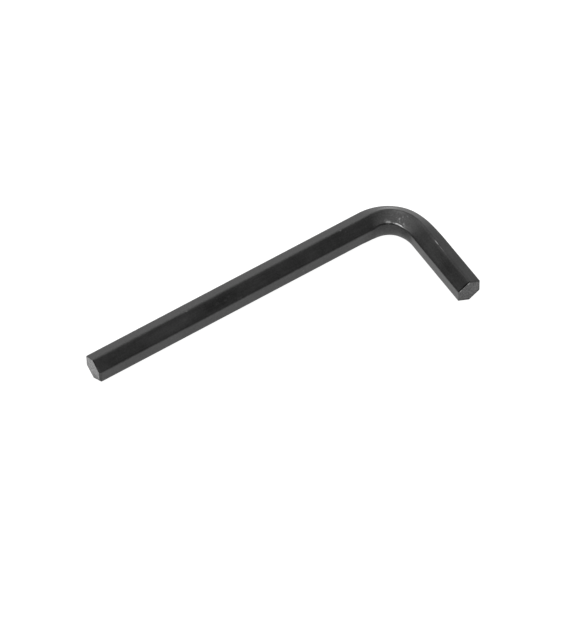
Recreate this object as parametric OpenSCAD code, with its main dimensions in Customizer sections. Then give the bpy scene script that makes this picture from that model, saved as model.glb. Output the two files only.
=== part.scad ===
// Hex key: one length of hexagonal steel bar with a single right-angle bend.
//
// The key lies on a level surface as it comes to rest. The plane of the bend is
// level, a flat of the bar faces the inside of the bend and another the outside,
// so a long edge of the bar points up and the one opposite rests on the surface.
// X runs along the long arm towards the bend, the short arm points to -Y and Z
// is up. The origin is the middle of the key's bounding box, at the surface.
// Sizes are in millimetres and angles in degrees.

/* [Bar] */
// Width of the bar across its flats, which is the size of the key
across_flats = 6; // [4:0.5:10]
// Radius that rounds the six long edges of the drawn bar
edge_radius = 0.5; // [0.1:0.1:1.2]

/* [Arms] */
// Length of the long arm, from its tip to the outer flat of the short arm
long_arm = 86; // [50:1:180]
// Length of the short arm, from its tip to the outer flat of the long arm
short_arm = 31.5; // [24:0.5:60]
// Radius of the bend, along the middle of the bar
bend_radius = 9.6; // [6:0.2:18]

/* [Tips] */
// Width of the long tip's chamfer, measured in from the flats
long_tip_chamfer = 0.15; // [0.05:0.05:0.8]
// Width of the short tip's chamfer, measured in from the flats
short_tip_chamfer = 0.2; // [0.05:0.05:0.8]
// Angle between each chamfer and its end face
chamfer_angle = 45; // [20:5:60]

/* [Hidden] */

// Colour of the black oxide finish
black_oxide = [0.13, 0.13, 0.13];
// A hexagonal bar has six sides, with this angle from one long edge to the next
bar_sides = 6;
edge_step = 360 / bar_sides;
// Direction of the edge that points up
top_edge = 90;
// Distance from the bar's middle to its flats
half_width = across_flats / 2;
// Distance from the bar's middle to the centre of each edge's rounding
rounding_centre = (half_width - edge_radius) / cos(edge_step / 2);
// Distance from the bar's middle to the rounded edges, and so its height when the key lies
edge_reach = rounding_centre + edge_radius;
// Straight stretch of each arm, from its tip to the start of the bend
long_straight = long_arm - half_width - bend_radius;
short_straight = short_arm - half_width - bend_radius;
// Centre of the bend, measured from the middle of the bounding box
bend_centre_x = long_arm / 2 - half_width - bend_radius;
bend_centre_y = short_arm / 2 - half_width - bend_radius;
// How far the wedges that cut the chamfers reach past the bar on every side
wedge_spare = 1;
// Smoothness of the rounded edges and the bend
edge_facets = 48;
bend_facets = 192;

// The unit vector in a direction.
function toward(angle) = [cos(angle), sin(angle)];

// The bar's section, with upright flats on the left and right and an edge at the top.
// The polygon joins the ends of the flats, and a circle rounds each edge between them.
module bar_section() {
    edges = [for (i = [0 : bar_sides - 1]) top_edge + i * edge_step];
    polygon([for (edge = edges, side = [-1, 1])
        rounding_centre * toward(edge) + edge_radius * toward(edge + side * edge_step / 2)]);
    for (edge = edges)
        translate(rounding_centre * toward(edge))
            circle(r = edge_radius, $fn = edge_facets);
}

// The bar bent through a right angle about the Z axis, from the +X side to the +Y side.
module bend() {
    rotate_extrude(angle = 90, $fn = bend_facets)
        translate([bend_radius, 0])
            bar_section();
}

// A straight stretch of bar along +X, with the cut end of its tip at the origin.
module straight_bar(length) {
    rotate([90, 0, 90])
        linear_extrude(height = length)
            bar_section();
}

// The wedge that a chamfer takes off the tip, over the flat that faces up. Its lower
// side leaves the end face at the chamfer's width inside the flat, and slopes out past it.
module chamfer_wedge(chamfer) {
    slope = tan(chamfer_angle);
    rotate([90, 0, 0])
        linear_extrude(height = 2 * (edge_reach + wedge_spare), center = true)
            polygon([
                [-wedge_spare * slope, half_width - chamfer - wedge_spare],
                [(chamfer + wedge_spare) * slope, half_width + wedge_spare],
                [-wedge_spare * slope, half_width + wedge_spare]
            ]);
}

// One arm, along +X from its chamfered tip at the origin to the start of the bend. The
// flats lie half a step on from the edges, and each has its own wedge.
module arm(length, chamfer) {
    difference() {
        straight_bar(length);
        for (i = [0 : bar_sides - 1])
            rotate([(i + 0.5) * edge_step, 0, 0])
                chamfer_wedge(chamfer);
    }
}

// The whole key. The two arms run into the bend, so that the flats and the rounded
// edges carry on round it without a break.
module hex_key() {
    color(black_oxide)
        translate([bend_centre_x, bend_centre_y, edge_reach])
            union() {
                translate([-long_straight, bend_radius])
                    arm(long_straight, long_tip_chamfer);
                bend();
                translate([bend_radius, -short_straight])
                    rotate(90)
                        arm(short_straight, short_tip_chamfer);
            }
}

hex_key();
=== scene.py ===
# %% [markdown]
# # A hex key in black oxide steel
#
# A hex key is one length of hexagonal steel bar with a single right-angle bend. In the
# factory the bar is drawn straight, cropped to length and chamfered at its tips, then
# bent cold round a pin, hardened, and blackened in a hot bath. This script follows that
# order: a straight bar of six flats, two chamfered tips, one bend with the marks that
# cold bending leaves, and last the black oxide with its scuffs and worn places.
#
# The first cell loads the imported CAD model, which everything here is fitted to. Lengths
# are in metres. X runs along the long arm, the short arm points to -Y, and Z is up.

from math import cos, pi, radians, sin, tan

import bmesh
import bpy
from mathutils import Matrix, Vector


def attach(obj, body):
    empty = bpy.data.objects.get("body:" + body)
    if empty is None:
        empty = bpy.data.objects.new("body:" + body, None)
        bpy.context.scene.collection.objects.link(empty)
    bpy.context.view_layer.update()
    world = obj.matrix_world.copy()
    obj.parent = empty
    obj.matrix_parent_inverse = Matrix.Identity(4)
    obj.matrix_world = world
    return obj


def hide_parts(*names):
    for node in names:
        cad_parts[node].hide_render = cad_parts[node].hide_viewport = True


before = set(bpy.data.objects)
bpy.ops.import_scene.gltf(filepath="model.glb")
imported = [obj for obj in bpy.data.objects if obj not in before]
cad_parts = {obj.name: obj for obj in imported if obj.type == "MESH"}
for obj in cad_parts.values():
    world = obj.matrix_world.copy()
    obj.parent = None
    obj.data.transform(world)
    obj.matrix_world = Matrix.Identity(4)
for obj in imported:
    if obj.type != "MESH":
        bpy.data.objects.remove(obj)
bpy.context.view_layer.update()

# %% [markdown]
# ## The sizes of the bar
#
# These are the driving sizes of the CAD source, in metres. Everything else follows from
# them, as it does there: the bend is turned about a centre that lies one bend radius
# inside the middle lines of both arms, and the bar lies on one of its six edges, so its
# middle is as high as an edge reaches.

# %% Name the sizes
MM = 0.001
across_flats = 6 * MM
edge_radius = 0.5 * MM
long_arm = 86 * MM
short_arm = 31.5 * MM
bend_radius = 9.6 * MM
long_tip_chamfer = 0.15 * MM
short_tip_chamfer = 0.2 * MM
chamfer_angle = radians(45)

half_width = across_flats / 2
half_edge_step = radians(30)  # half the angle from one edge of the hexagon to the next
edge_reach = (half_width - edge_radius) / cos(half_edge_step) + edge_radius
long_straight = long_arm - half_width - bend_radius
short_straight = short_arm - half_width - bend_radius
bend_length = bend_radius * pi / 2
bar_length = long_straight + bend_length + short_straight
bend_centre = Vector((
    long_arm / 2 - half_width - bend_radius,
    short_arm / 2 - half_width - bend_radius,
    edge_reach,
))
print("length of bar before bending, mm:", round(bar_length / MM, 2))
print("height of the middle line, mm:", round(edge_reach / MM, 3))

# %% [markdown]
# ## The camera
#
# A product photograph is easiest to match when the camera is worked out backwards. Here
# the heading, the elevation and a slight roll were found from the outlines of the two
# arms. They give the camera's three axes. The virtual corner where the two middle lines
# meet has to fall on one known pixel of a 569 by 625 frame, and one millimetre there has
# to be a known number of pixels long, which sets the lens for the chosen distance.

# %% Place the camera
frame_width, frame_height = 569, 625
heading, elevation, roll = radians(32.056), radians(53.852), radians(1.069)
camera_distance = 1.3
pixels_per_metre = 4348.4
corner_pixel = Vector((399.4, 207.2))
sensor = 36.0
nearest, farthest = 0.05, 60

level_right = Vector((cos(heading), -sin(heading), 0))
level_up = Vector((
    sin(heading) * sin(elevation),
    cos(heading) * sin(elevation),
    cos(elevation),
))
towards_camera = level_right.cross(level_up)
right = level_right * cos(roll) - level_up * sin(roll)
up = level_right * sin(roll) + level_up * cos(roll)

corner = bend_centre + Vector((bend_radius, bend_radius, 0))
to_the_right = (corner_pixel.x - (frame_width - 1) / 2) / pixels_per_metre
above = ((frame_height - 1) / 2 - corner_pixel.y) / pixels_per_metre

camera_data = bpy.data.cameras.new("photo_camera")
camera_data.sensor_width = sensor
camera_data.lens = pixels_per_metre * camera_distance * sensor / frame_height
camera_data.clip_start = nearest
camera_data.clip_end = farthest
camera = bpy.data.objects.new("photo_camera", camera_data)
bpy.context.scene.collection.objects.link(camera)
camera.matrix_world = Matrix.Translation(
    corner - to_the_right * right - above * up + camera_distance * towards_camera
) @ Matrix((right, up, towards_camera)).transposed().to_4x4()
bpy.context.scene.camera = camera
print("lens in mm:", round(camera_data.lens, 1))
print("camera at:", [round(c, 4) for c in camera.matrix_world.translation])

# %% [markdown]
# ## Small helpers for node trees
#
# Geometry Nodes and materials are both trees of nodes. Dragging nodes by hand can't be
# repeated from a script, so these helpers build the trees. `feed` joins a socket to
# another one or gives it a plain value, and `add` makes a node and lays it out in columns.

# %% Helpers that add nodes
COLUMN, ROW, ROWS = 190, 210, 7


def feed(source, socket):
    """Joins a socket to another one, or gives it a plain value."""
    if isinstance(source, bpy.types.NodeSocket):
        socket.id_data.links.new(source, socket)
    else:
        socket.default_value = source


def add(tree, kind, inputs=None, **settings):
    """Adds a node to a tree, laid out in columns, and feeds its named or numbered inputs."""
    count = len(tree.nodes)
    node = tree.nodes.new(kind)
    node.location = (COLUMN * (count // ROWS), -ROW * (count % ROWS))
    for name, value in settings.items():
        setattr(node, name, value)
    for socket, value in (inputs or {}).items():
        feed(value, node.inputs[socket])
    return node


print("a column of a tree holds", ROWS, "nodes")

# %% [markdown]
# ### Helpers for sums and curves
#
# `calc` writes a sum as a Math node, so that a formula reads from left to right. `ramp`
# goes softly from one value to another, and `drawn_curve` follows a curve drawn through
# given points, for what has no simple formula.

# %% Helpers that work something out
def calc(tree, operation, *values):
    """The result of one Math node."""
    node = add(tree, "ShaderNodeMath", operation=operation)
    for value, socket in zip(values, node.inputs):
        feed(value, socket)
    return node.outputs[0]


def ramp(tree, value, low, high, start=0.0, end=1.0, kind="SMOOTHSTEP"):
    """Goes from start to end while value goes from low to high, and stays there."""
    node = add(tree, "ShaderNodeMapRange", interpolation_type=kind)
    for socket, setting in zip(node.inputs, (value, low, high, start, end)):
        feed(setting, socket)
    return node.outputs[0]


def drawn_curve(tree, value, points):
    """Reads a value off a smooth curve through some points, all between 0 and 1."""
    node = add(tree, "ShaderNodeFloatCurve", {"Value": value})
    curve = node.mapping.curves[0]
    for end, point in zip(curve.points, (points[0], points[-1])):
        end.location = point
    for point in points[1:-1]:
        curve.points.new(*point)
    node.mapping.update()
    return node.outputs[0]


print("helpers:", [helper.__name__ for helper in (feed, add, calc, ramp, drawn_curve)])

# %% [markdown]
# ## A tree with named sizes
#
# The bar's shape follows a rule from end to end, so it is made by Geometry Nodes. The
# tree's inputs are the sizes, named as a maker would name them. Anyone can change one in
# the modifier panel and get another key of the same family.

# %% Start the bar's tree
bar_tree = bpy.data.node_groups.new("hexagonal_bar", "GeometryNodeTree")
bar_sizes = {
    "Half width": half_width,
    "Edge radius": edge_radius,
    "Bar length": bar_length,
    "Long straight": long_straight,
    "Bend radius": bend_radius,
    "Long face half width": half_width - long_tip_chamfer,
    "Short face half width": half_width - short_tip_chamfer,
    "Chamfer slope": tan(chamfer_angle),
    "Long tip wear": 0.3 * MM,
    "Top edge shift": 0.62 * MM,
    "Inner flat growth": 0.44 * MM,
    "Inner flat swell": 0.2 * MM,
    "Inner flat bulge": 0.28 * MM,
    "Outer flat stretch": 0.27 * MM,
}
for name in bar_sizes:
    bar_tree.interface.new_socket(name, in_out="INPUT", socket_type="NodeSocketFloat")
bar_tree.interface.new_socket("Finish", in_out="INPUT", socket_type="NodeSocketMaterial")
bar_tree.interface.new_socket("Bar", in_out="OUTPUT", socket_type="NodeSocketGeometry")
given = add(bar_tree, "NodeGroupInput").outputs
print("inputs of the bar's tree:", [socket.name for socket in given][:-1])

# %% [markdown]
# ## The section
#
# Drawn bar has the section of its die: a hexagon with slightly rounded corners. A circle
# of six points is a hexagon, and Fillet Curve rounds its corners. Only then are the long
# flats cut into shorter stretches, and only they: Fillet Curve leaves seven points at each
# corner, so every seventh stretch is a flat. The places on the section are captured, one
# outwards from the bend and one upwards, because the mesh will need them later.

# %% Draw the rounded hexagon
flat_count = 6
corner_facets = 6
flat_cuts = 6
points_per_corner = corner_facets + 1

hexagon = add(bar_tree, "GeometryNodeCurvePrimitiveCircle", {
    "Resolution": flat_count,
    "Radius": calc(bar_tree, "DIVIDE", given["Half width"], cos(half_edge_step)),
})
turned_hexagon = add(bar_tree, "GeometryNodeTransform", {
    "Geometry": hexagon.outputs["Curve"],
    "Rotation": (0, 0, half_edge_step),
})
rounded = add(bar_tree, "GeometryNodeFilletCurve", {
    "Curve": turned_hexagon.outputs["Geometry"],
    "Count": corner_facets,
    "Radius": given["Edge radius"],
}, mode="POLY")
index = add(bar_tree, "GeometryNodeInputIndex").outputs["Index"]
place_in_corner = calc(bar_tree, "MODULO", index, points_per_corner)
is_flat = calc(bar_tree, "COMPARE", place_in_corner, corner_facets, 0.5)
section_curve = add(bar_tree, "GeometryNodeSubdivideCurve", {
    "Curve": rounded.outputs["Curve"],
    "Cuts": calc(bar_tree, "MULTIPLY", is_flat, flat_cuts),
})
section_place = add(bar_tree, "ShaderNodeSeparateXYZ", {
    0: add(bar_tree, "GeometryNodeInputPosition").outputs["Position"],
})
section = add(bar_tree, "GeometryNodeCaptureAttribute")
section.capture_items.new("FLOAT", "Outwards")
section.capture_items.new("FLOAT", "Upwards")
feed(section_curve.outputs["Curve"], section.inputs["Geometry"])
feed(section_place.outputs["X"], section.inputs["Outwards"])
feed(section_place.outputs["Y"], section.inputs["Upwards"])
print("points round the section:", flat_count * (points_per_corner + flat_cuts))

# %% [markdown]
# ## The straight bar
#
# The section is swept along a straight line, as the die draws the bar. The line has a
# point every quarter of a millimetre or so, which is fine enough for the bend. The
# distance along the bar is captured too. With that and the place on the section, each
# point of the mesh knows where it sits on the straight bar.

# %% Sweep the section along a line
ring_gap = 0.25 * MM
ring_count = round(bar_length / ring_gap) + 1
ring_gap = bar_length / (ring_count - 1)

line = add(bar_tree, "GeometryNodeCurvePrimitiveLine", {
    "End": add(bar_tree, "ShaderNodeCombineXYZ", {"X": given["Bar length"]}).outputs[0],
})
stations = add(bar_tree, "GeometryNodeResampleCurve", {
    "Curve": line.outputs["Curve"],
    "Count": ring_count,
})
line_place = add(bar_tree, "ShaderNodeSeparateXYZ", {
    0: add(bar_tree, "GeometryNodeInputPosition").outputs["Position"],
})
path = add(bar_tree, "GeometryNodeCaptureAttribute")
path.capture_items.new("FLOAT", "Along")
feed(stations.outputs["Curve"], path.inputs["Geometry"])
feed(line_place.outputs["X"], path.inputs["Along"])
swept = add(bar_tree, "GeometryNodeCurveToMesh", {
    "Curve": path.outputs["Geometry"],
    "Profile Curve": section.outputs["Geometry"],
    "Fill Caps": True,
})
along = path.outputs["Along"]
outwards = section.outputs["Outwards"]
upwards = section.outputs["Upwards"]
print("rings along the bar:", ring_count, "every", round(ring_gap / MM, 3), "mm")

# %% [markdown]
# ## The chamfered tips
#
# The tips are cut square and their sharp rims are broken with a narrow chamfer along each
# flat, so each end face stays a hexagon. A Boolean cut would do it too, but the mesh has
# a ring of points at each end already, so it is enough to move those. The rule needs one
# measure: how far out a point lies, counted square to the nearest flat. The long tip is
# knocked rounder on its inner side, so its end face is a little smaller there.

# %% How far each end face reaches
knock_start, knock_end = 0.1, -0.9
from_long_tip = along
from_short_tip = calc(bar_tree, "SUBTRACT", given["Bar length"], along)
from_tip = calc(bar_tree, "MINIMUM", from_long_tip, from_short_tip)
is_short_side = calc(bar_tree, "GREATER_THAN", from_long_tip, from_short_tip)
is_long_side = calc(bar_tree, "SUBTRACT", 1.0, is_short_side)
face_difference = calc(
    bar_tree, "SUBTRACT", given["Short face half width"], given["Long face half width"])
knocked = ramp(
    bar_tree, calc(bar_tree, "DIVIDE", outwards, given["Half width"]),
    low=knock_start, high=knock_end,
    start=0.0, end=calc(bar_tree, "MULTIPLY", is_long_side, given["Long tip wear"]))
face_half_width = calc(
    bar_tree, "SUBTRACT",
    calc(bar_tree, "MULTIPLY_ADD", is_short_side, face_difference,
         given["Long face half width"]),
    knocked)
across = calc(bar_tree, "ABSOLUTE", outwards)
square_to_flat = calc(
    bar_tree, "MAXIMUM", across,
    calc(bar_tree, "MULTIPLY_ADD", across, sin(half_edge_step),
         calc(bar_tree, "MULTIPLY", calc(bar_tree, "ABSOLUTE", upwards),
              cos(half_edge_step))))
print("across the end faces, mm:",
      [round(2 * bar_sizes[name] / MM, 2)
       for name in ("Long face half width", "Short face half width")])

# %% [markdown]
# ### Moving the last rings
#
# The last ring shrinks until its points are as far out as the end face reaches. The ring
# next to it slides back to where the chamfer meets the bar, which is the whole chamfer on
# a flat and a little less on a rounded edge. The rings behind it close up a little to make
# room. The direction along the bar is turned round at the short tip.

# %% Slide and shrink the last rings
make_room = 1.0 * MM
setback = calc(
    bar_tree, "MULTIPLY", calc(bar_tree, "SUBTRACT", square_to_flat, face_half_width),
    given["Chamfer slope"])
slid = calc(
    bar_tree, "ADD",
    ramp(bar_tree, from_tip, low=ring_gap, high=make_room, start=setback, end=make_room,
         kind="LINEAR"),
    calc(bar_tree, "MAXIMUM", calc(bar_tree, "SUBTRACT", from_tip, make_room), 0.0))
is_last_ring = calc(bar_tree, "LESS_THAN", from_tip, ring_gap / 2)
cut_from_tip = calc(
    bar_tree, "MULTIPLY", slid, calc(bar_tree, "SUBTRACT", 1.0, is_last_ring))
from_tip_inwards = calc(bar_tree, "SUBTRACT", is_long_side, is_short_side)
cut_along = calc(
    bar_tree, "ADD",
    calc(bar_tree, "MULTIPLY", is_short_side, given["Bar length"]),
    calc(bar_tree, "MULTIPLY", cut_from_tip, from_tip_inwards))
shrink = calc(
    bar_tree, "MULTIPLY_ADD", is_last_ring,
    calc(bar_tree, "SUBTRACT",
         calc(bar_tree, "DIVIDE", face_half_width, square_to_flat), 1.0), 1.0)
cut_outwards = calc(bar_tree, "MULTIPLY", outwards, shrink)
cut_upwards = calc(bar_tree, "MULTIPLY", upwards, shrink)
print("chamfers, mm:", round(long_tip_chamfer / MM, 2), round(short_tip_chamfer / MM, 2))

# %% [markdown]
# ## What cold bending does to the section
#
# Steel on the inside of a bend is squeezed and has to go somewhere, so the inner flat
# grows taller and bulges, and swells a little on its lower side where the bend starts.
# Steel on the outside is stretched, so the top and bottom edges are drawn towards the
# outside, the outer flats grow steeper, and the section gets a little thinner.
# None of this is even: the bar was pushed round the pin from one side. So five curves say
# how strongly each change shows, from the start of the bend to its end. The amounts
# are small and the outline hardly changes, but the way the flats catch the light does.
# The top and bottom edges keep their height, so the key still lies flat.

# %% How strong each change is along the bend
past_start = calc(bar_tree, "SUBTRACT", cut_along, given["Long straight"])
turn_share = calc(
    bar_tree, "DIVIDE", calc(bar_tree, "DIVIDE", past_start, given["Bend radius"]), pi / 2)
first_share, last_share = -0.2, 1.4
spread_share = ramp(bar_tree, turn_share, first_share, last_share, kind="LINEAR")


def along_bend(*points):
    """A strength from 0 to 1, drawn over the share of the bend, and a little past each end."""
    ends = (first_share, points[0][1]), (last_share, points[-1][1])
    return drawn_curve(bar_tree, spread_share, [
        ((share - first_share) / (last_share - first_share), strength)
        for share, strength in (ends[0], *points, ends[1])])


edge_strength = along_bend(
    (-0.05, 0), (0.1, 0.25), (0.25, 0.66), (0.38, 0.96), (0.5, 1.0), (0.66, 0.88),
    (0.8, 0.63), (0.95, 0.31), (1.1, 0.1), (1.25, 0))
growth_strength = along_bend(
    (0.02, 0), (0.1, 0.25), (0.18, 0.65), (0.3, 0.95), (0.4, 1), (0.52, 0.9), (0.6, 0.7),
    (0.7, 0.34), (0.85, 0.16), (1.1, 0))
swell_strength = along_bend(
    (-0.2, 0), (0.0, 0.75), (0.12, 1), (0.25, 0.75), (0.4, 0.25), (0.55, 0))
bulge_strength = along_bend((-0.1, 0), (0.3, 1), (0.8, 0.8), (1.1, 0))
stretch_strength = along_bend(
    (0.5, 0), (0.64, 0.24), (0.75, 0.65), (0.88, 1), (1.02, 0.65), (1.15, 0.25), (1.3, 0))
print("the changes reach from share", first_share, "to share", last_share, "of the bend")

# %% [markdown]
# ### Where each change acts on the section
#
# Each change acts on one part of the section only, and fades out towards its neighbours.
# `inner_part`, `outer_part` and `top_part` say how much a point belongs to the inner flat,
# to the outer flat, and to the top or bottom edge. `side_of_middle` runs from -1 at the
# foot of the inner flat to 1 at its head.

# %% Parts of the section
rounding_share = edge_radius * sin(half_edge_step) / half_width
outer_share = calc(bar_tree, "DIVIDE", cut_outwards, given["Half width"])
inner_part = ramp(bar_tree, outer_share, -rounding_share, -1.0, kind="LINEAR")
outer_part = ramp(bar_tree, outer_share, rounding_share, 1.0, kind="LINEAR")
top_part = calc(bar_tree, "SUBTRACT", 1.0, calc(bar_tree, "ADD", inner_part, outer_part))
half_flat = calc(bar_tree, "MULTIPLY", given["Half width"], tan(half_edge_step))
side_of_middle = calc(
    bar_tree, "MINIMUM",
    calc(bar_tree, "MAXIMUM", calc(bar_tree, "DIVIDE", cut_upwards, half_flat), -1.0), 1.0)
near_middle = calc(
    bar_tree, "SUBTRACT", 1.0, calc(bar_tree, "MULTIPLY", side_of_middle, side_of_middle))
lower_part = calc(bar_tree, "MULTIPLY_ADD", side_of_middle, -0.5, 0.5)
print("an edge's rounding is", round(rounding_share, 3), "of the half width")

# %% [markdown]
# ### Adding the changes up
#
# Each change is its size times its strength along the bend, times how much the point
# belongs to its part of the section. Their sum moves a point outwards or inwards, and the
# growth also moves it up or down.

# %% Squeeze and stretch the section
edge_shift = calc(
    bar_tree, "MULTIPLY", calc(bar_tree, "MULTIPLY", edge_strength, given["Top edge shift"]),
    top_part)
growth = calc(
    bar_tree, "MULTIPLY",
    calc(bar_tree, "MULTIPLY", growth_strength, given["Inner flat growth"]), inner_part)
swell = calc(
    bar_tree, "MULTIPLY",
    calc(bar_tree, "MULTIPLY", swell_strength, given["Inner flat swell"]),
    calc(bar_tree, "MULTIPLY", inner_part, lower_part))
bulge = calc(
    bar_tree, "MULTIPLY",
    calc(bar_tree, "MULTIPLY", bulge_strength, given["Inner flat bulge"]),
    calc(bar_tree, "MULTIPLY", inner_part, near_middle))
stretch = calc(
    bar_tree, "MULTIPLY",
    calc(bar_tree, "MULTIPLY", stretch_strength, given["Outer flat stretch"]), outer_part)
moved_inwards = calc(bar_tree, "ADD", calc(bar_tree, "ADD", swell, bulge), stretch)
bent_outwards = calc(
    bar_tree, "ADD",
    calc(bar_tree, "ADD", cut_outwards, edge_shift),
    calc(bar_tree, "SUBTRACT", growth, moved_inwards))
bent_upwards = calc(bar_tree, "MULTIPLY_ADD", growth, side_of_middle, cut_upwards)
print("largest changes, mm:", {
    name: round(size / MM, 2) for name, size in bar_sizes.items()
    if name.endswith(("shift", "growth", "swell", "bulge", "stretch"))})

# %% [markdown]
# ## The right-angle bend
#
# The middle line runs straight, then round a quarter circle, then straight again. For a
# point at a given distance along the bar, the angle turned so far is the distance past
# the start of the bend, divided by the bend radius, and kept between nothing and a right
# angle. That angle says which way is outwards. What is left over before and after the
# bend is a plain shift along each arm.

# %% Bend the bar
turn = calc(
    bar_tree, "MULTIPLY",
    calc(bar_tree, "MINIMUM", calc(bar_tree, "MAXIMUM", turn_share, 0.0), 1.0), pi / 2)
before_bend = calc(bar_tree, "MINIMUM", past_start, 0.0)
round_the_bend = calc(bar_tree, "MULTIPLY", given["Bend radius"], pi / 2)
after_bend = calc(
    bar_tree, "MAXIMUM", calc(bar_tree, "SUBTRACT", past_start, round_the_bend), 0.0)
from_centre = calc(bar_tree, "ADD", given["Bend radius"], bent_outwards)
bent_place = add(bar_tree, "ShaderNodeCombineXYZ", {
    "X": calc(bar_tree, "MULTIPLY_ADD", from_centre, calc(bar_tree, "SINE", turn),
              calc(bar_tree, "ADD", before_bend, bend_centre.x)),
    "Y": calc(bar_tree, "MULTIPLY_ADD", from_centre, calc(bar_tree, "COSINE", turn),
              calc(bar_tree, "SUBTRACT", bend_centre.y, after_bend)),
    "Z": calc(bar_tree, "ADD", bent_upwards, bend_centre.z),
})
bent = add(bar_tree, "GeometryNodeSetPosition", {
    "Geometry": swept.outputs["Mesh"],
    "Position": bent_place.outputs[0],
})
print("bend's middle line, mm:", round(bend_length / MM, 2), "long")

# %% [markdown]
# ## What the finish needs to know
#
# Drawing lines and worn edges were there before the bar was bent, or follow it round the
# bend. So the mesh keeps two attributes for the material: `drawn_place`, where a point
# sat on the straight bar, and `end_face`, which is 1 on the two cut faces. The caps
# are the only faces with more than four corners.

# %% Store the two attributes
drawn_place = add(bar_tree, "ShaderNodeCombineXYZ", {
    "X": cut_along, "Y": cut_outwards, "Z": cut_upwards,
})
with_place = add(bar_tree, "GeometryNodeStoreNamedAttribute",
                 data_type="FLOAT_VECTOR", domain="POINT")
feed(bent.outputs["Geometry"], with_place.inputs["Geometry"])
feed("drawn_place", with_place.inputs["Name"])
feed(drawn_place.outputs[0], with_place.inputs["Value"])

corners_of_side_face = 4
corners_of_face = add(bar_tree, "GeometryNodeInputMeshFaceNeighbors").outputs["Vertex Count"]
is_end_face = calc(bar_tree, "GREATER_THAN", corners_of_face, corners_of_side_face)
with_ends = add(bar_tree, "GeometryNodeStoreNamedAttribute", data_type="FLOAT", domain="FACE")
feed(with_place.outputs["Geometry"], with_ends.inputs["Geometry"])
feed("end_face", with_ends.inputs["Name"])
feed(is_end_face, with_ends.inputs["Value"])
print("attributes:", with_place.inputs["Name"].default_value,
      with_ends.inputs["Name"].default_value)

# %% [markdown]
# ## Sharp and smooth
#
# Smooth shading hides the rings of the mesh round the bend and makes the rounded edges
# look round. Edges that turn sharply, where a chamfer meets the flats and the end face,
# are marked sharp, so that they stay crisp. The tree ends by making everything real and
# giving it its material.

# %% Shade the mesh and close the tree
sharp_angle = radians(22)

smooth_faces = add(bar_tree, "GeometryNodeSetShadeSmooth", {
    "Geometry": with_ends.outputs["Geometry"], "Shade Smooth": True,
}, domain="FACE")
edge_angle = add(bar_tree, "GeometryNodeInputMeshEdgeAngle").outputs["Unsigned Angle"]
sharp_edges = add(bar_tree, "GeometryNodeSetShadeSmooth", {
    "Geometry": smooth_faces.outputs["Geometry"],
    "Selection": calc(bar_tree, "GREATER_THAN", edge_angle, sharp_angle),
    "Shade Smooth": False,
}, domain="EDGE")
real_bar = add(bar_tree, "GeometryNodeRealizeInstances", {
    "Geometry": sharp_edges.outputs["Geometry"],
})
finished_bar = add(bar_tree, "GeometryNodeSetMaterial", {
    "Geometry": real_bar.outputs["Geometry"],
    "Material": given["Finish"],
})
add(bar_tree, "NodeGroupOutput", {"Bar": finished_bar.outputs["Geometry"]})
print("nodes in the bar's tree:", len(bar_tree.nodes))

# %% [markdown]
# ## Black oxide
#
# Black oxide isn't paint. It is the steel's own surface, turned into a very thin dark
# layer and oiled, so it reflects as a metal does, only dimly, and brightly at a glancing
# angle. A metallic shader with a very dark base does just that. The finish reads the two
# attributes, and the object's own coordinates for patterns that ignore the bend.

# %% Start the finish
black_oxide = bpy.data.materials.new("oiled_black_oxide")
black_oxide.use_nodes = True
oxide_tree = black_oxide.node_tree
oxide_tree.nodes.clear()

oxide_tone = 0.05
oxide_roughness = 0.36
shader = add(oxide_tree, "ShaderNodeBsdfPrincipled", {"Metallic": 1.0})
add(oxide_tree, "ShaderNodeOutputMaterial", {"Surface": shader.outputs["BSDF"]})
straight = add(oxide_tree, "ShaderNodeAttribute", attribute_name="drawn_place").outputs["Vector"]
end_face = add(oxide_tree, "ShaderNodeAttribute", attribute_name="end_face").outputs["Fac"]
object_place = add(oxide_tree, "ShaderNodeTexCoord").outputs["Object"]
print("base tone:", oxide_tone, "roughness:", oxide_roughness)

# %% [markdown]
# ## Drawing lines and the mottled bath
#
# Three patterns make up the plain surface. Fine lines run along the bar from the drawing
# die, so their noise is stretched along the straight bar. The bath leaves soft clouds and
# a fine grain, which have no direction. Most of a noise lies well inside 0 to 1, so what
# reads it later is fitted to that middle range.

# %% Lines and clouds
def noise(place, scale, stretch=(1, 1, 1), detail=3.0, rough=0.55):
    """A noise from 0 to 1 over a place, in metres, with that many grains to the metre."""
    fitted = add(oxide_tree, "ShaderNodeMapping", {"Vector": place, "Scale": stretch})
    texture = add(oxide_tree, "ShaderNodeTexNoise", {
        "Vector": fitted.outputs["Vector"],
        "Scale": scale,
        "Detail": detail,
        "Roughness": rough,
    })
    return texture.outputs["Fac"]


lines_per_metre, clouds_per_metre, grains_per_metre = 5000, 260, 2600
noise_low, noise_high = 0.3, 0.7
draw_lines = noise(straight, lines_per_metre, stretch=(0.03, 1, 1), detail=2)
clouds = noise(object_place, clouds_per_metre)
grain = noise(object_place, grains_per_metre, detail=2)
print("size of lines, clouds and grain, mm:",
      [round(1 / scale / MM, 2)
       for scale in (lines_per_metre, clouds_per_metre, grains_per_metre)])

# %% [markdown]
# ## Worn and bruised places
#
# A bench tool is rubbed and knocked where it sticks out. Painting a texture by hand would
# need an image, so each mark is a soft ellipsoid instead, placed in millimetres on the
# straight bar: along it, outwards from the bend, and upwards. Inside a wear mark the black
# layer is thinner and the steel shows, so the tone goes up by the amount given. A few marks
# further on are painted highlights or painted shade instead.

# %% Helper for one mark
full_strength_share = 0.25


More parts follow.
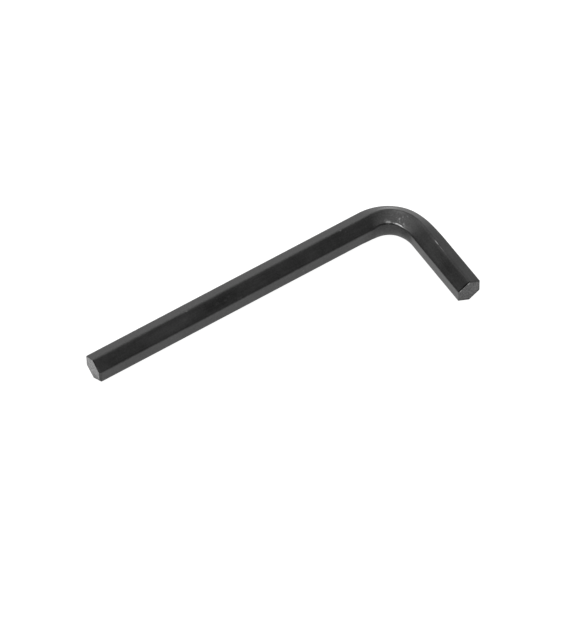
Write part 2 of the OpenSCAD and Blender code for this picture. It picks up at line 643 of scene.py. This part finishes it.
def mark(place_in_mm, half_size_in_mm, amount):
    """A soft ellipsoid on the straight bar that adds to the tone inside it."""
    fitted = add(oxide_tree, "ShaderNodeMapping", {
        "Vector": straight,
        "Location": Vector(place_in_mm) * MM,
        "Scale": Vector(half_size_in_mm) * MM,
    }, vector_type="TEXTURE")
    reach = add(oxide_tree, "ShaderNodeVectorMath", {0: fitted.outputs["Vector"]},
                operation="LENGTH").outputs["Value"]
    return ramp(oxide_tree, reach, low=1.0, high=full_strength_share, start=0.0, end=amount)


def total(values):
    """Adds up any number of values."""
    values = list(values)
    result = values[0]
    for value in values[1:]:
        result = calc(oxide_tree, "ADD", result, value)
    return result


print("a mark is strongest over", full_strength_share, "of its size")

# %% [markdown]
# ### Wear and painted highlights on the bend
#
# The inner edge of the bend is rubbed bright where it meets other tools, and its marks
# also carry a painted highlight along that rounded edge. The start of the bend beside its
# top edge is rubbed bright too, with a painted highlight along the outer flat. Small knocks
# are scattered between the two.

# %% Wear and painted highlights on the bend
# partly wear, partly a painted highlight: the light that the rounded inner edge of the bend
# catches
worn_edge_and_highlight = [
    mark((82.3, -2.78, 1.86), (2.3, 0.25, 0.4), 0.26),
    mark((82.5, -2.78, 1.86), (3.6, 0.21, 0.4), 0.13),
    mark((79.0, -2.70, 1.90), (1.2, 0.50, 0.6), 0.14),
]
# partly wear, partly a painted highlight on the outer flat beside the top edge at the start of
# the bend
rubbed_top_and_highlight = [
    mark((79.0, 1.10, 2.75), (2.6, 0.95, 1.2), 0.10),
    mark((81.4, -0.10, 3.25), (2.2, 0.60, 0.6), 0.025),
]
bend_knocks = [
    mark((82.0, -1.62, 2.53), (0.34, 0.36, 1), 0.09),
    mark((82.7, -1.04, 2.87), (0.28, 0.26, 1), 0.05),
    mark((82.3, -2.20, 2.20), (0.26, 0.24, 1), 0.06),
    mark((83.6, -2.17, 2.21), (0.42, 0.36, 1), 0.07),
    mark((84.2, -2.41, 2.07), (0.28, 0.24, 1), 0.05),
    mark((83.7, -0.57, 3.14), (0.30, 0.26, 1), 0.03),
    mark((78.5, -2.30, 2.10), (1.10, 0.50, 1), 0.022),
]
# knocks plus the painted highlights of the bend
bend_wear_and_highlights = worn_edge_and_highlight + rubbed_top_and_highlight + bend_knocks
print("marks on the bend:", len(bend_wear_and_highlights))

# %% [markdown]
# ### Wear on the arms
#
# One scratch runs along the top edge of the short arm, and the long arm has a few light
# knocks and scuffs. A noise breaks the rims of all the marks, as wear is never even.

# %% Wear on the two arms
arm_knocks = [
    mark((25.0, -0.11, 3.37), (0.30, 0.30, 1), 0.05),
    mark((54.6, -3.00, 0.18), (0.35, 0.50, 0.35), 0.05),
    mark((66.6, -0.12, 3.37), (0.35, 0.28, 1), 0.06),
    mark((67.6, -0.74, 3.04), (0.30, 0.26, 1), 0.03),
]
scratch = [
    mark((93.9, 0.06, 3.38), (1.1, 0.16, 0.5), 0.26),
    mark((96.0, 0.04, 3.38), (1.5, 0.15, 0.5), 0.08),
]
scuffs = [
    mark((23.8, -1.40, 2.66), (1.0, 0.40, 1), 0.018),
    mark((32.3, -1.58, 2.55), (0.8, 0.35, 1), 0.018),
    mark((34.3, -1.75, 2.45), (0.7, 0.30, 1), 0.022),
    mark((35.4, -1.34, 2.69), (0.7, 0.30, 1), 0.022),
    mark((37.8, -2.64, 1.94), (0.9, 0.30, 1), 0.018),
]
arm_wear = arm_knocks + scratch + scuffs
breaks_per_metre = 3800
weakest, strongest = 0.35, 1.15
wear_noise = noise(straight, breaks_per_metre, detail=2)
ragged = ramp(oxide_tree, wear_noise, low=0.32, high=0.62, start=weakest, end=strongest)
# wear, with the painted highlights of the bend among its marks
wear = calc(oxide_tree, "MULTIPLY", total(bend_wear_and_highlights + arm_wear), ragged)
print("marks on the arms:", len(arm_wear))

# %% [markdown]
# ## An uneven bath
#
# Where the bar lay against its neighbours in the bath, or was hotter, the black came out a
# shade lighter or darker. These patches are so weak that one only sees them along a flat.
# They are marks as well, but without the broken rim.

# %% Lighter and darker patches
uneven_bath = [
    mark((21.5, -1.5, 2.6), (9.0, 1.8, 1.2), 0.014),
    mark((32.5, -1.5, 2.6), (6.5, 1.8, 1.2), -0.014),
    mark((87.0, -0.8, 2.8), (4.2, 2.4, 1.6), 0.015),
    mark((104.0, -1.2, 2.6), (12.0, 2.2, 1.6), -0.014),
    mark((86.4, -3.0, 0.2), (5.0, 1.0, 2.4), -0.016),
    mark((85.6, -2.5, 2.1), (3.6, 0.8, 0.9), 0.014),
    mark((86.2, -2.84, 1.80), (3.4, 0.45, 0.5), 0.026),
]
print("patches:", len(uneven_bath))

# %% [markdown]
# ## A patch of fine pits
#
# Between the larger knocks the bend is peppered with fine light dots. Voronoi cells give
# scattered points: near the middle of a cell the dot is light. A broad soft mark keeps
# the dots to the patch where the real key has them.

# %% Pepper the bend
pits_per_metre = 1900
dot_rim, dot_middle = 0.34, 0.08
pits = add(oxide_tree, "ShaderNodeTexVoronoi", {"Vector": straight, "Scale": pits_per_metre})
dots = ramp(oxide_tree, pits.outputs["Distance"], low=dot_rim, high=dot_middle)
pit_patch = mark((81.8, -1.6, 2.5), (3.6, 1.7, 1.6), 0.03)
peppered = calc(oxide_tree, "MULTIPLY", dots, pit_patch)
print("a pit every", round(1 / pits_per_metre / MM, 2), "mm or so")

# %% [markdown]
# ## The two cut faces
#
# The faces are cropped, not drawn, so they are duller and more mottled, and the black
# layer sits on them unevenly. The long arm's face is rubbed lighter than the short one's.
# The pattern is one noise over the section, stretched without end along the bar, and each
# face reads it with its own contrast.

# %% Mottle the cut faces
mottles_per_metre = 2200
face_place = add(oxide_tree, "ShaderNodeMapping", {"Vector": straight, "Scale": (0, 1, 1)})
mottle = noise(face_place.outputs["Vector"], mottles_per_metre, detail=4, rough=0.8)
short_mottle = ramp(oxide_tree, mottle, low=0.34, high=0.66, start=-0.028, end=0.052)
long_mottle = ramp(oxide_tree, mottle, low=0.34, high=0.66, start=-0.02, end=0.19)
print("size of the mottles, mm:", round(1 / mottles_per_metre / MM, 2))

# %% [markdown]
# ## The rims of the cut faces
#
# A rim of a cut face runs beside a flat. How far a point lies out towards that flat is a
# dot product of its place and the direction that the flat faces. Where that reaches the
# flat's own distance, the point is on the rim.

# %% Helper for the rims
straight_along, straight_out = add(
    oxide_tree, "ShaderNodeSeparateXYZ", {0: straight}).outputs[:2]


def towards_flat(side, height=1):
    """How far out a point lies towards a slanting flat.

    The side is -1 for a flat inside the bend and 1 for one outside it, and the height is 1
    for an upper flat and -1 for a lower one.
    """
    faces = (0, side * sin(half_edge_step), height * cos(half_edge_step))
    return add(oxide_tree, "ShaderNodeVectorMath", {0: straight, 1: faces},
               operation="DOT_PRODUCT").outputs["Value"]


towards_inner_flat = towards_flat(-1)
towards_outer_flat = towards_flat(1)
print("the flats lie at, mm:", half_width / MM)

# %% [markdown]
# ### The short face
#
# One upper rim is worn bright and knocked, beside its dark chamfer. The other upper rim
# is darker. The two lower rims are painted darker, painted shade as if the face mirrored
# the key's contact shadow, and the outer half of the face is a shade lighter.

# %% Rims of the short face
worn_rim = calc(
    oxide_tree, "MULTIPLY",
    ramp(oxide_tree, towards_inner_flat, low=2.52 * MM, high=2.68 * MM, start=0.0, end=0.05),
    ramp(oxide_tree, straight_out, low=0.3 * MM, high=0.0))
dark_rim = calc(
    oxide_tree, "MULTIPLY",
    ramp(oxide_tree, towards_outer_flat, low=2.6 * MM, high=2.76 * MM, start=0.0, end=-0.032),
    ramp(oxide_tree, straight_out, low=0.0, high=0.2 * MM))
# painted shade: the two lower rims are darkened as if the face mirrored the key's contact shadow
painted_shade_lower_rims = ramp(
    oxide_tree,
    calc(oxide_tree, "MAXIMUM", towards_flat(-1, height=-1), towards_flat(1, height=-1)),
    low=2.05 * MM, high=2.55 * MM, start=0.0, end=-0.034)
rim_knocks = [
    mark((107.4, -2.4, 1.80), (0.5, 0.50, 0.50), 0.13),
    mark((107.4, -1.6, 2.25), (0.5, 0.36, 0.34), 0.07),
    mark((107.4, -0.2, 2.85), (0.5, 0.50, 0.40), 0.13),
]
lighter_side = mark((107.4, 2.2, 0.3), (0.5, 2.2, 2.6), 0.012)
short_tone = total([short_mottle, worn_rim, dark_rim, painted_shade_lower_rims, lighter_side, *rim_knocks])
print("knocks on the short face's rim:", len(rim_knocks))

# %% [markdown]
# ### The long face
#
# Its foot is darker, painted shade as if the face mirrored the key's contact shadow, and
# its outer upper corner is darker too. The two faces share one material, so each point
# takes the tone of the face whose half of the bar it is on. Off the cut faces all of this
# is multiplied by nothing.

# %% Rims of the long face, and both faces together
long_tone = total([
    long_mottle,
    # painted shade: the foot of the long face is darkened as if it mirrored the key's contact
    # shadow
    mark((0.0, -1.8, -2.6), (0.4, 2.8, 2.1), -0.16),
    mark((0.0, 2.8, 1.65), (0.4, 0.5, 0.5), -0.12),
])
on_short_side = calc(oxide_tree, "GREATER_THAN", straight_along, bar_length / 2)
tone_range = calc(oxide_tree, "SUBTRACT", short_tone, long_tone)
tone_of_faces = calc(
    oxide_tree, "MULTIPLY",
    calc(oxide_tree, "MULTIPLY_ADD", tone_range, on_short_side, long_tone), end_face)
darkest_share = 0.8
darkest_change = -darkest_share * oxide_tone
face_tone = calc(oxide_tree, "MAXIMUM", tone_of_faces, darkest_change)
print("darkest change on the cut faces:", round(darkest_change, 3))

# %% [markdown]
# ## The chamfers
#
# The chamfer over the upper inner flat is darker where it meets the flat, so it looks like
# a thin dark line. The long tip's inner corners are a little darker than the bar, and the
# short tip's are rubbed lighter.

# %% Dark lines and rubbing at the tips
tip_corners = [
    mark((0.20, -2.85, 0), (0.50, 0.45, 2.4), -0.008),
    mark((107.28, -2.95, 0), (0.30, 0.25, 2.2), 0.05),
]
from_end = calc(
    oxide_tree, "MINIMUM", straight_along,
    calc(oxide_tree, "SUBTRACT", bar_length, straight_along))
dark_line_share = 0.75
# darker in a thin line along the chamfer over the upper inner flat
dark_chamfer_line = calc(
    oxide_tree, "MULTIPLY",
    ramp(oxide_tree, towards_inner_flat, low=2.79 * MM, high=2.84 * MM,
         start=0.0, end=-dark_line_share * oxide_tone),
    calc(oxide_tree, "MULTIPLY", ragged,
         ramp(oxide_tree, from_end, low=0.28 * MM, high=0.17 * MM)))
print("rubbed or oiled corners at the tips:", len(tip_corners))

# %% [markdown]
# ## Colour
#
# The patterns are added up into one tone, which is the base colour. The oxide is a neutral
# grey, so one number is enough for it. Clouds, lines and grain change the plain tone by
# their own share, and the wear, the painted highlights and the painted shade of the marks
# are added on top.

# %% Mix the tone
cloud_share, line_share, grain_share = 0.1, 0.07, 0.12
plain_tone = calc(
    oxide_tree, "MULTIPLY", oxide_tone,
    total([ramp(oxide_tree, pattern, noise_low, noise_high, middle - share, middle + share)
           for pattern, middle, share in (
               (clouds, 1, cloud_share), (draw_lines, 0, line_share),
               (grain, 0, grain_share))]))
all_tones = [plain_tone, face_tone, wear, peppered, dark_chamfer_line]
tone = calc(oxide_tree, "MAXIMUM", total(all_tones + uneven_bath + tip_corners), 0.0)
base = add(oxide_tree, "ShaderNodeCombineColor", {"Red": tone, "Green": tone, "Blue": tone})
feed(base.outputs["Color"], shader.inputs["Base Color"])
print("the plain tone changes by up to", round(cloud_share + line_share + grain_share, 2),
      "of itself")

# %% [markdown]
# ## Roughness and bump
#
# The clouds of the bath make the surface a little more or less rough. For the bump, lines
# and grain stand up and worn places and pits lie deeper. All of it is a few hundredths of
# a millimetre at most, so it belongs in the material and not in the mesh.

# %% Mix the roughness and the bump
roughness_change = 0.03
roughness = ramp(
    oxide_tree, clouds, noise_low, noise_high,
    oxide_roughness - roughness_change, oxide_roughness + roughness_change)
feed(roughness, shader.inputs["Roughness"])

heights = (draw_lines, 0.6), (grain, 0.4), (wear, -6.0), (peppered, -10.0)
height = total([calc(oxide_tree, "MULTIPLY", pattern, share) for pattern, share in heights])
bump_strength, bump_distance = 0.15, 0.02 * MM
bump = add(oxide_tree, "ShaderNodeBump", {
    "Height": height, "Strength": bump_strength, "Distance": bump_distance,
})
feed(bump.outputs["Normal"], shader.inputs["Normal"])
print("nodes in the finish:", len(oxide_tree.nodes))

# %% [markdown]
# ## The bar as a plain mesh
#
# The modifier's inputs are set by the identifier of each socket, before the object is
# evaluated for the first time. The evaluated result is copied to a plain mesh, and the
# modifier is removed, so that nothing has to be worked out again when the model is used.

# %% Make the bar
bar = bpy.data.objects.new("bent_hex_bar", bpy.data.meshes.new("bent_hex_bar"))
bpy.context.scene.collection.objects.link(bar)
modifier = bar.modifiers.new("hexagonal_bar", "NODES")
modifier.node_group = bar_tree
for socket in bar_tree.interface.items_tree:
    if socket.name in bar_sizes:
        modifier[socket.identifier] = bar_sizes[socket.name]
    elif socket.name == "Finish":
        modifier[socket.identifier] = black_oxide

evaluated = bar.evaluated_get(bpy.context.evaluated_depsgraph_get())
bar_mesh = bpy.data.meshes.new_from_object(evaluated)
bar.modifiers.remove(modifier)
bar.data = bar_mesh
bar_mesh.name = "bent_hex_bar"

shape = bmesh.new()
shape.from_mesh(bar_mesh)
print("faces:", len(shape.faces), "triangles:", sum(len(f.verts) - 2 for f in shape.faces))
print("volume in cubic mm:", round(shape.calc_volume(signed=True) / MM**3, 1))
print("open edges:", sum(not e.is_manifold for e in shape.edges))
shape.free()

# %% [markdown]
# ## The studio
#
# A dark glossy thing is only as light as what it mirrors, so the floor, the softbox and the
# room set the tones of the flats. The key lies on a plain white floor that is lit from
# within like a light table, so its shadow stays faint.

# %% Lay the floor
floor_half_width = 6.0
floor_tone, floor_glow = 0.3, 0.97
floor_mesh = bpy.data.meshes.new("studio_floor")
floor_mesh.from_pydata(
    [(x * floor_half_width, y * floor_half_width, 0)
     for x, y in ((-1, -1), (1, -1), (1, 1), (-1, 1))],
    [], [(0, 1, 2, 3)])
floor = bpy.data.objects.new("studio_floor", floor_mesh)
bpy.context.scene.collection.objects.link(floor)

floor_finish = bpy.data.materials.new("light_table")
floor_finish.use_nodes = True
floor_shader = floor_finish.node_tree.nodes["Principled BSDF"]
floor_shader.inputs["Base Color"].default_value = (floor_tone, floor_tone, floor_tone, 1)
floor_shader.inputs["Roughness"].default_value = 1.0
floor_shader.inputs["Specular IOR Level"].default_value = 0.0
floor_shader.inputs["Emission Color"].default_value = (1, 1, 1, 1)
floor_shader.inputs["Emission Strength"].default_value = floor_glow
floor_mesh.materials.append(floor_finish)
print("floor:", 2 * floor_half_width, "m wide")

# %% [markdown]
# ## The softbox
#
# One round softbox hangs almost straight above. A lamp's energy is in watts and spreads
# over its cloth, so for a wanted brightness of the cloth the energy grows with its area.

# %% Hang the softbox
def softbox(name, direction, distance, size, brightness):
    """A round softbox that faces the key. Its brightness is that of its white cloth."""
    light = bpy.data.lights.new(name, "AREA")
    light.shape = "DISK"
    light.size = size
    light.energy = brightness * pi * pi * (size / 2) ** 2
    box = bpy.data.objects.new(name, light)
    bpy.context.scene.collection.objects.link(box)
    direction = Vector(direction).normalized()
    box.location = direction * distance
    box.rotation_euler = direction.to_track_quat("Z", "Y").to_euler()
    print(name, "energy in watts:", round(light.energy, 3))


softbox("top_softbox", (-0.2, 0.06, 0.98), distance=0.7, size=0.3, brightness=1.3)

# %% [markdown]
# ## The room
#
# The room is a soft grey that grows lighter towards the horizon, as a white sweep does,
# with a pool of light on the ceiling round the softbox and another on the far wall. It is
# darker on the side where the photographer stood. These are fixed directions in the room,
# so nothing moves with the camera.

# %% Light the room
room = bpy.data.worlds.new("soft_room")
bpy.context.scene.world = room
room.use_nodes = True
room_tree = room.node_tree
looking = add(room_tree, "ShaderNodeTexCoord").outputs["Generated"]


def towards(direction):
    """How squarely one looks that way in the room: 1 straight at it, 0 at right angles."""
    return add(room_tree, "ShaderNodeVectorMath",
               {0: looking, 1: Vector(direction).normalized()},
               operation="DOT_PRODUCT").outputs["Value"]


sweep = ramp(
    room_tree, towards((0, 0, 1)), low=0.0, high=0.42, start=0.85, end=0.37)
dark_side = ramp(
    room_tree, towards((-0.45, -0.83, 0.32)), low=0.80, high=0.97, start=1.0, end=0.3)
ceiling_pool = ramp(
    room_tree, towards((-0.22, 0.10, 0.97)), low=0.74, high=0.97, start=0.0, end=1.05)
wall_pool = ramp(
    room_tree, towards((0.42, 0.72, 0.55)), low=0.86, high=1.0, start=0.0, end=1.5)
room_light = calc(
    room_tree, "MULTIPLY_ADD", sweep, dark_side,
    calc(room_tree, "ADD", ceiling_pool, wall_pool))
feed(room_light, room_tree.nodes["Background"].inputs["Strength"])
feed((1, 1, 1, 1), room_tree.nodes["Background"].inputs["Color"])

bpy.context.scene.view_settings.view_transform = "Standard"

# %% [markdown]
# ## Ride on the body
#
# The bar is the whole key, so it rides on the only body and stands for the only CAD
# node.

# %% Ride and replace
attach(bar, "root")
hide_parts("hex_key")
